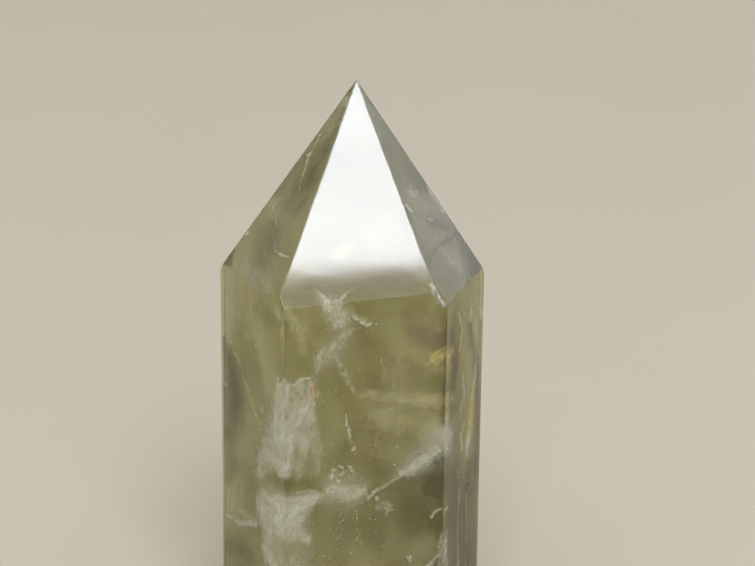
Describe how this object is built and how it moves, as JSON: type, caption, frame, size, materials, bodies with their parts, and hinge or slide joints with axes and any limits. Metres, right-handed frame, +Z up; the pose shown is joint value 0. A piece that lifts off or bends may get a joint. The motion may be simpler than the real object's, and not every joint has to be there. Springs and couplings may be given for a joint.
{
  "type": "citrine crystal point",
  "caption": "Polished citrine point: a clear six-sided quartz tower with a faceted pyramid tip and a flat cut foot to stand on.",
  "frame": {"origin": "middle of the bounding box on the flat foot that the point stands on", "axes": "+Z up towards the tip, -Y out of the front prism face, +X to the right seen from the front"},
  "size_m": [0.0448, 0.037, 0.1047],
  "materials": {
    "citrine_quartz": "clear yellow-olive quartz with milky veils and healed cracks inside, ground flat and polished bright"
  },
  "bodies": {
    "root": {"citrine_point": "citrine_quartz"}
  },
  "joints": []
}
